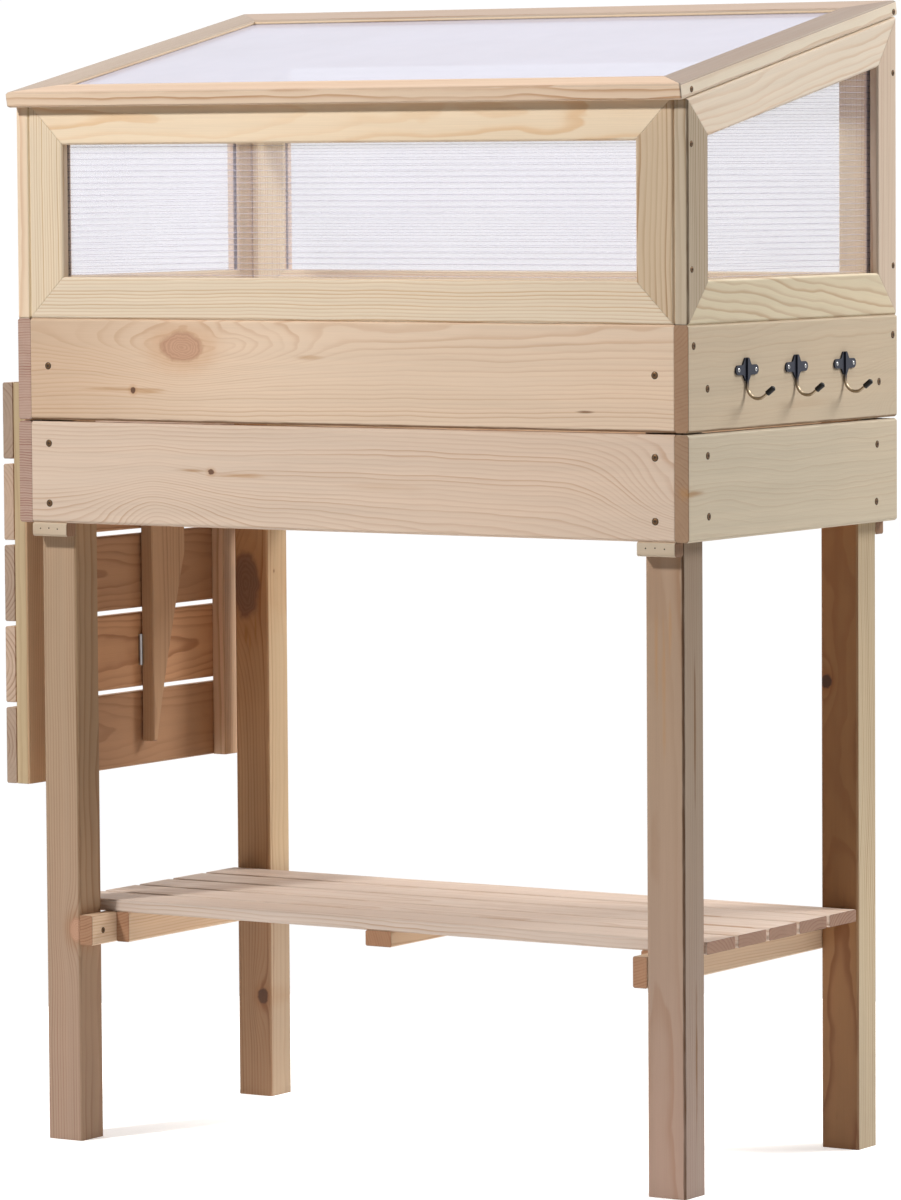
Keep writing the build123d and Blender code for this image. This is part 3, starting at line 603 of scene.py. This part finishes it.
def plastic(name, color, alpha):
    """A clear or milky sheet, a little cloudy."""
    material, g, shader = shaded(name)
    place = g.add("ShaderNodeTexCoord").outputs["Object"]
    cloud = g.noise(place, (9, 9, 9), 3.0)
    tone = g.scaled(cloud, 0.05, 0.97)
    g.put(shader.inputs["Base Color"], g.tint(color, g.grey(tone)))
    g.put(shader.inputs["Alpha"], g.scaled(cloud, 0.06, alpha - 0.03))
    g.put(shader.inputs["Roughness"], g.scaled(cloud, 0.1, 0.1))
    return material


# Panes: a closed skin in the shape of each sheet, and the ribs between its two walls
RIB_PITCH = 0.007
RIB_THICKNESS = 0.0008
SKIN_THICKNESS = 0.0006
RIB_END_GAP = 0.001
RIB_SHORTEST = 0.01
RIB_CORNERS = ((0, 0, -1), (1, 0, -1), (1, 1, -1), (0, 1, -1), (0, 0, 1), (1, 0, 1), (1, 1, 1), (0, 1, 1))
RIB_FACES = ((0, 3, 2, 1), (4, 5, 6, 7), (0, 1, 5, 4), (1, 2, 6, 5), (2, 3, 7, 6), (3, 0, 4, 7))
pane_clear = plastic("pane_skin", srgb(222, 220, 242), 0.11)
pane_ribs = plastic("pane_rib", srgb(224, 220, 234), 0.3)
pane_milky = plastic("pane_lid", srgb(192, 190, 208), 0.9)


def point_mesh(points):
    """A mesh of loose points, to be wrapped in a hull."""
    mesh = bmesh.new()
    for p in points:
        mesh.verts.new(p)
    return mesh


def section(points, rise, level, across):
    """Where a level cuts the sheet: the places of its two ends across."""
    cut = point_mesh(points)
    bmesh.ops.convex_hull(cut, input=cut.verts)
    everything = cut.verts[:] + cut.edges[:] + cut.faces[:]
    sliced = bmesh.ops.bisect_plane(cut, geom=everything, plane_co=rise * level, plane_no=rise)
    found = [v.co.dot(across) for v in sliced["geom_cut"] if isinstance(v, bmesh.types.BMVert)]
    cut.free()
    return found


for name, across, out in (
    ("wall_front_sheet", X, Y), ("wall_rear_sheet", X, Y), ("wall_right_sheet", Y, X),
    ("wall_left_sheet", Y, X), ("lid_sheet", X, OFF_SLOPE),
):
    points = [v.co.copy() for v in nodes[name].data.vertices]
    rise = out.cross(across)
    rise = rise if rise.z > 0 else -rise
    skin = point_mesh(points)
    bmesh.ops.remove_doubles(skin, verts=skin.verts, dist=1e-6)
    bmesh.ops.convex_hull(skin, input=skin.verts)
    loose = [v for v in skin.verts if not v.link_faces]
    bmesh.ops.delete(skin, geom=loose, context="VERTS")
    bmesh.ops.dissolve_limit(skin, angle_limit=0.01, verts=skin.verts, edges=skin.edges)
    heights = [p.dot(rise) for p in points]
    depths = [p.dot(out) for p in points]
    low, high = min(heights), max(heights)
    walls = (min(depths) + SKIN_THICKNESS, max(depths) - SKIN_THICKNESS)
    lid = name.startswith("lid")
    flutes = -1 if lid else int((high - low - RIB_THICKNESS) / RIB_PITCH)
    start = (low + high) / 2 - flutes * RIB_PITCH / 2
    for i in range(flutes + 1):
        level = start + i * RIB_PITCH
        span = section(points, rise, level, across)
        if not span:
            continue
        ends = (min(span) + RIB_END_GAP, max(span) - RIB_END_GAP)
        if ends[1] - ends[0] < RIB_SHORTEST:
            continue
        corners = []
        for s, d, h in RIB_CORNERS:
            place = across * ends[s] + out * walls[d] + rise * (level + h * RIB_THICKNESS / 2)
            corners.append(skin.verts.new(place))
        for face in RIB_FACES:
            skin.faces.new([corners[k] for k in face]).material_index = 1
    bmesh.ops.recalc_face_normals(skin, faces=skin.faces)
    mesh = bpy.data.meshes.new("pane_" + name)
    skin.to_mesh(mesh)
    skin.free()
    finishes = (pane_milky, pane_clear) if lid else (pane_clear, pane_ribs)
    for polygon in mesh.polygons if lid else ():
        polygon.material_index = 0 if polygon.normal.dot(out) > 0.5 else 1
    pane = piece("pane_" + name, mesh, "lid" if lid else "bed", "twin_wall", *finishes)
    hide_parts(name)

# Heads of the fasteners: radius as a share, and height over the wood
HEAD_SIDES = 20
HEAD_TOP = 0.0006
HEAD_PROFILE = ((1.12, -0.0006), (1.18, 0.00008), (1.0, 0.0001), (0.97, 0.0004), (0.8, HEAD_TOP))
# Bands round the head painted dark as the countersink's shade
HEAD_SHADE_BANDS = 2
RECESS_REACH = 0.52
RECESS_HALF_WIDTH = 0.13
RECESS_TAPER = 0.8
RECESS_FLOOR = 0.00012
BRAD_SIDES = 10
BRAD_RADIUS = 0.0009
BRAD_PROFILE = ((1.0, -0.0004), (1.0, 0.00005), (0.6, 0.00022))
LARGE_HEAD = 0.0036
SMALL_HEAD = 0.003
HOOK_HEAD = 0.0023
TURN_LIMIT = 1.5


def screw(mesh, point, normal, radius, turn):
    """A countersunk head with a cross recess; the rim round it and the recess are painted dark as shade."""
    normal = Vector(normal)
    side = Matrix.Rotation(turn, 3, normal) @ normal.orthogonal().normalized()
    other = normal.cross(side)
    point = Vector(point)

    def at(x, y, h):
        return mesh.verts.new(point + side * x + other * y + normal * h)

    angles = [2 * math.pi * i / HEAD_SIDES for i in range(HEAD_SIDES)]
    loops = []
    for share, h in HEAD_PROFILE:
        r = radius * share
        loops.append([at(r * math.cos(a), r * math.sin(a), h) for a in angles])
    mesh.faces.new(loops[0][::-1]).material_index = 1
    for k in range(len(loops) - 1):
        for i in range(HEAD_SIDES):
            j = (i + 1) % HEAD_SIDES
            quad = (loops[k][i], loops[k][j], loops[k + 1][j], loops[k + 1][i])
            mesh.faces.new(quad).material_index = 1 if k < HEAD_SHADE_BANDS else 0
    long, wide = radius * RECESS_REACH, radius * RECESS_HALF_WIDTH
    outline = []
    for q in range(4):
        c, s = round(math.cos(q * math.pi / 2)), round(math.sin(q * math.pi / 2))
        for x, y in ((wide, -wide), (long, -wide), (long, wide)):
            outline.append((x * c - y * s, x * s + y * c))
    rim = [at(x, y, HEAD_TOP) for x, y in outline]
    floor = [at(x * RECESS_TAPER, y * RECESS_TAPER, RECESS_FLOOR) for x, y in outline]
    edges = []
    for loop in (loops[-1], rim):
        for i in range(len(loop)):
            pair = (loop[i], loop[(i + 1) % len(loop)])
            edges.append(mesh.edges.get(pair) or mesh.edges.new(pair))
    bmesh.ops.triangle_fill(mesh, edges=edges, use_beauty=True)
    for i in range(len(rim)):
        j = (i + 1) % len(rim)
        mesh.faces.new((rim[i], rim[j], floor[j], floor[i])).material_index = 1
    mesh.faces.new(floor).material_index = 1


def brad(mesh, point, normal):
    """A punched brad: a small dark dome."""
    normal = Vector(normal)
    side = normal.orthogonal().normalized()
    other = normal.cross(side)
    point = Vector(point)
    loops = []
    for r, h in BRAD_PROFILE:
        ring = []
        for i in range(BRAD_SIDES):
            a = 2 * math.pi * i / BRAD_SIDES
            spoke = (side * math.cos(a) + other * math.sin(a)) * r * BRAD_RADIUS
            ring.append(mesh.verts.new(point + spoke + normal * h))
        loops.append(ring)
    mesh.faces.new(loops[0][::-1])
    mesh.faces.new(loops[-1])
    for k in range(len(loops) - 1):
        for i in range(BRAD_SIDES):
            j = (i + 1) % BRAD_SIDES
            mesh.faces.new((loops[k][i], loops[k][j], loops[k + 1][j], loops[k + 1][i]))


def finish_mesh(name, build, body, slot, *materials):
    """Builds a mesh by the given function and makes it a piece."""
    work = bmesh.new()
    build(work)
    bmesh.ops.recalc_face_normals(work, faces=work.faces)
    mesh = bpy.data.meshes.new(name)
    work.to_mesh(mesh)
    work.free()
    piece(name, mesh, body, slot, *materials)


# Screws: boards to legs, the cold frame's corners, the lid's corners, the shelf's ledgers
BOARD_SCREW_X = 0.4075
BOARD_SCREW_HEIGHTS = (0.907, 0.8172, 0.7476)
SIDE_SPOTS = (
    (-0.2264, 0.939), (0.2286, 0.9386), (-0.1966, 0.8915), (0.1953, 0.886),
    (-0.1964, 0.8184), (0.1907, 0.8145), (-0.1945, 0.7518), (0.189, 0.749),
)
FRAME_SPOTS = ((-0.2298, 1.158), (-0.2295, 1.022), (0.2296, 1.238), (0.2296, 1.018))
LID_SPOTS = ((-0.2306, 1.217), (0.2297, 1.3076))
LEDGER_SCREW_INSET = 0.0215
LEDGER_SCREW_HEIGHT = 0.2472
BRAD_SPOTS = ((0.011, 0.0), (0.023, 0.0006), (0.035, -0.0003))
BRAD_RAISE = 0.001
HOOK_PITCH = 0.112
HOOK_PLATE = 0.002
HOOK_EAR_DROP = 0.0135
HOOK_SCREW_SIDE = 0.019


def bed_screws(mesh):
    turns = random.Random(4)
    for x in (-BOARD_SCREW_X, BOARD_SCREW_X):
        for z in BOARD_SCREW_HEIGHTS:
            for y, out in ((FRONT, -Y), (REAR, Y)):
                screw(mesh, (MIDDLE + x, y, z), out, LARGE_HEAD, turns.uniform(0, TURN_LIMIT))
    for y, z in SIDE_SPOTS + FRAME_SPOTS:
        for x, out in ((RIGHT, X), (LEFT, -X)):
            radius = SMALL_HEAD if z > RIM else LARGE_HEAD
            screw(mesh, (x, CENTRE + y, z), out, radius, turns.uniform(0, TURN_LIMIT))
    for side, out in (("left", X), ("right", -X)):
        low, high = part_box("shelf_ledger_" + side)
        x = high.x if side == "left" else low.x
        for y in (low.y + LEDGER_SCREW_INSET, high.y - LEDGER_SCREW_INSET):
            screw(mesh, (x, y, LEDGER_SCREW_HEIGHT), out, SMALL_HEAD, turns.uniform(0, TURN_LIMIT))


def lid_screws(mesh):
    turns = random.Random(9)
    for x, out in ((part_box("lid_stile_right")[1].x, X), (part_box("lid_stile_left")[0].x, -X)):
        for y, z in LID_SPOTS:
            screw(mesh, (x, CENTRE + y, z), out, SMALL_HEAD, turns.uniform(0, TURN_LIMIT))


def block_brads(mesh):
    low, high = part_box("corner_blocks")
    for x in (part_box("leg_front_left")[0].x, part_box("leg_front_right")[0].x):
        for y, out in ((low.y, -Y), (high.y, Y)):
            for k, drop in BRAD_SPOTS:
                brad(mesh, (x + k, y, (low.z + high.z) / 2 + BRAD_RAISE + drop), out)


def hook_screws(mesh):
    turns = random.Random(2)
    for hook in (-1, 0, 1):
        for side in (-HOOK_SCREW_SIDE, HOOK_SCREW_SIDE):
            spot = (RIGHT + HOOK_PLATE, CENTRE + hook * HOOK_PITCH + side, hook_top - HOOK_EAR_DROP)
            screw(mesh, spot, X, HOOK_HEAD, turns.uniform(0, TURN_LIMIT))


finish_mesh("screws_bed", bed_screws, "bed", "hinge_steel", screw_metal, brad_dark_and_recess_shade)
finish_mesh("screws_lid", lid_screws, "lid", "hinge_steel", screw_metal, brad_dark_and_recess_shade)
finish_mesh("brads", block_brads, "bed", "hinge_steel", brad_dark_and_recess_shade)
finish_mesh("screws_hooks", hook_screws, "bed", "hook_metal", bright, brad_dark_and_recess_shade)

# Studio
WHITE = (1, 1, 1, 1)
FLOOR_RADIUS = 1.3
FLOOR_SIDES = 120
FLOOR_GLOW = 0.45
SEEN_BRIGHTNESS = 0.92
FILL_BRIGHTNESS = 0.1
rim = []
for i in range(FLOOR_SIDES):
    angle = math.radians(360 / FLOOR_SIDES * i)
    rim.append((FLOOR_RADIUS * math.cos(angle), FLOOR_RADIUS * math.sin(angle), 0))
floor_mesh = bpy.data.meshes.new("floor")
floor_mesh.from_pydata(rim, [], [tuple(range(FLOOR_SIDES))])
floor = bpy.data.objects.new("floor", floor_mesh)
bpy.context.scene.collection.objects.link(floor)
pale, g, shader = surface("floor_pale", (0.93, 0.93, 0.93, 1), 0.0, 0.9, spread=0.004, scale=3.0, bump=0.0)
shader.inputs["Emission Color"].default_value = WHITE
shader.inputs["Emission Strength"].default_value = FLOOR_GLOW
floor_mesh.materials.append(pale)

world = bpy.data.worlds.new("studio")
bpy.context.scene.world = world
world.use_nodes = True
g = Graph(world.node_tree)
backdrop = world.node_tree.nodes["Background"]
backdrop.inputs[0].default_value = WHITE
rays = g.add("ShaderNodeLightPath").outputs
seen = g.math("MAXIMUM", rays["Is Camera Ray"], rays["Is Glossy Ray"])
g.put(backdrop.inputs[1], g.scaled(seen, SEEN_BRIGHTNESS, FILL_BRIGHTNESS))


def lamp(name, shape, size, power):
    data = bpy.data.lights.new(name, "AREA")
    data.shape = shape
    data.size = size
    data.energy = power
    item = bpy.data.objects.new(name, data)
    bpy.context.scene.collection.objects.link(item)
    return item


def disk(name, place, aim_height, size, power):
    """A round lamp that looks at the middle of the part, at a height."""
    item = lamp(name, "DISK", size, power)
    item.location = place
    aim = Vector((0, 0, aim_height)) - Vector(place)
    item.rotation_euler = aim.to_track_quat("-Z", "Y").to_euler()
    return item


# A soft light inside the cold frame, in place of what the milky lid scatters down
inside = lamp("inside", "RECTANGLE", 0.8, 1.25)
inside.data.size_y = 0.4
inside.location = (MIDDLE, CENTRE, 1.19)
inside.visible_camera = False
inside.visible_glossy = False

# The key lamp does not reach the rear legs
key = disk("key", (-1.68, -3.36, 3.53), 0.85, 0.5, 174)
off_key = bpy.data.collections.new("shaded_from_key")
for node in ("leg_rear_left", "leg_rear_right"):
    off_key.objects.link(nodes[node])
for member in off_key.collection_objects:
    member.light_linking.link_state = "EXCLUDE"
key.light_linking.receiver_collection = off_key
disk("side", (3.4, 3.0, 3.7), 0.9, 2.2, 197)
disk("top", (0.9, 1.2, 4.4), 1.0, 1.4, 66)
disk("left", (-3.6, 1.6, 2.2), 0.9, 2.0, 42)

# Camera: angles in degrees, focal length and height of the frame in pixels, the rest in metres
CAMERA_TURN = 32.397
CAMERA_TILT = 4.1294
CAMERA_ROLL = -0.3732
CAMERA_FOCAL = 6165.564
CAMERA_DISTANCE = 7.188809
CAMERA_TARGET = (-0.028813, 0.032087, 0.630076)
FRAME_HEIGHT = 1200
SENSOR = 36
turn = math.radians(CAMERA_TURN)
tilt = math.radians(CAMERA_TILT)
roll = math.radians(CAMERA_ROLL)
ahead = Vector((-math.sin(turn) * math.cos(tilt), math.cos(turn) * math.cos(tilt), -math.sin(tilt)))
level_side = Vector((math.cos(turn), math.sin(turn), 0))
level_up = level_side.cross(ahead)
aside = math.cos(roll) * level_side + math.sin(roll) * level_up
upward = math.cos(roll) * level_up - math.sin(roll) * level_side
camera_data = bpy.data.cameras.new("camera")
camera = bpy.data.objects.new("camera", camera_data)
bpy.context.scene.collection.objects.link(camera)
camera_data.sensor_width = SENSOR
camera_data.lens = CAMERA_FOCAL / FRAME_HEIGHT * SENSOR
camera_data.clip_end = 200
target = Vector((CAMERA_TARGET[0] + MIDDLE, CAMERA_TARGET[1] + CENTRE, CAMERA_TARGET[2]))
rotation = Matrix((aside, upward, -ahead)).transposed().to_4x4()
camera.matrix_world = Matrix.Translation(target - ahead * CAMERA_DISTANCE) @ rotation
bpy.context.scene.camera = camera
bpy.context.scene.view_settings.view_transform = "Standard"
